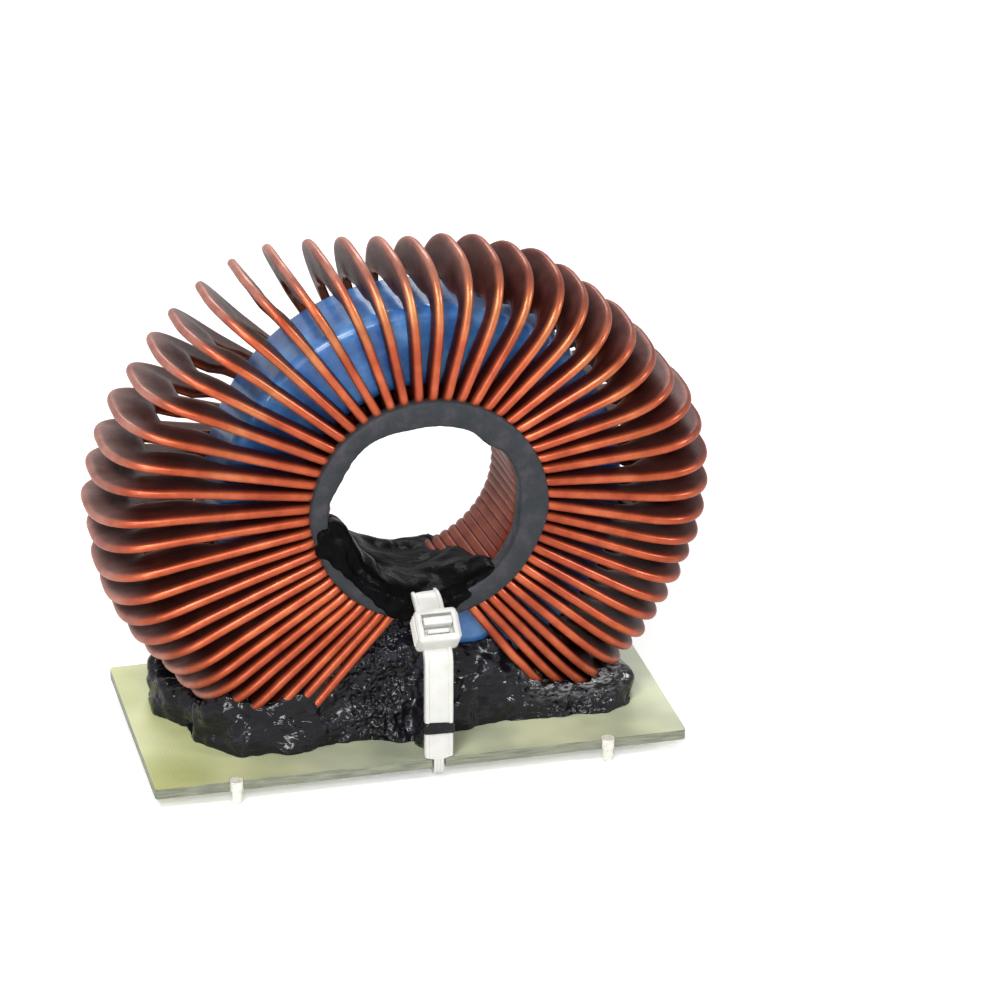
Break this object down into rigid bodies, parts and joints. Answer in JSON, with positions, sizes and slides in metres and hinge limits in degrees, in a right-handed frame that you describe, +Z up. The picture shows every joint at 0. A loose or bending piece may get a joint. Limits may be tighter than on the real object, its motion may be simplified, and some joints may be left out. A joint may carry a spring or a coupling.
{
  "type": "toroidal inductor",
  "caption": "Vertical toroidal inductor: coated ring core with an edge-wound flat copper coil, tied and glued upright on a small pinned board.",
  "frame": {"origin": "centre of the pin rectangle, on the underside of the board", "axes": "+Z up from the board, X along the board, Y along the core's bore, with the collared mouth of the bore towards -Y"},
  "size_m": [0.094, 0.0419, 0.0783],
  "materials": {
    "core_coating": "satin blue epoxy coating",
    "enamelled_copper": "clear enamel over drawn copper",
    "dark_collar": "matt",
    "laminate": "bare glass-fibre laminate",
    "nylon": "natural nylon",
    "silicone": "glossy cured silicone",
    "tinned_pin": "bright tin"
  },
  "bodies": {
    "root": {"core": "core_coating", "winding": "enamelled_copper", "bore_ring": "dark_collar", "base_board": "laminate", "cable_tie": "nylon", "adhesive_bed": "silicone", "bore_adhesive": "silicone", "pin_front_left": "tinned_pin", "pin_front_right": "tinned_pin", "pin_rear_left": "tinned_pin", "pin_rear_right": "tinned_pin"}
  },
  "joints": []
}
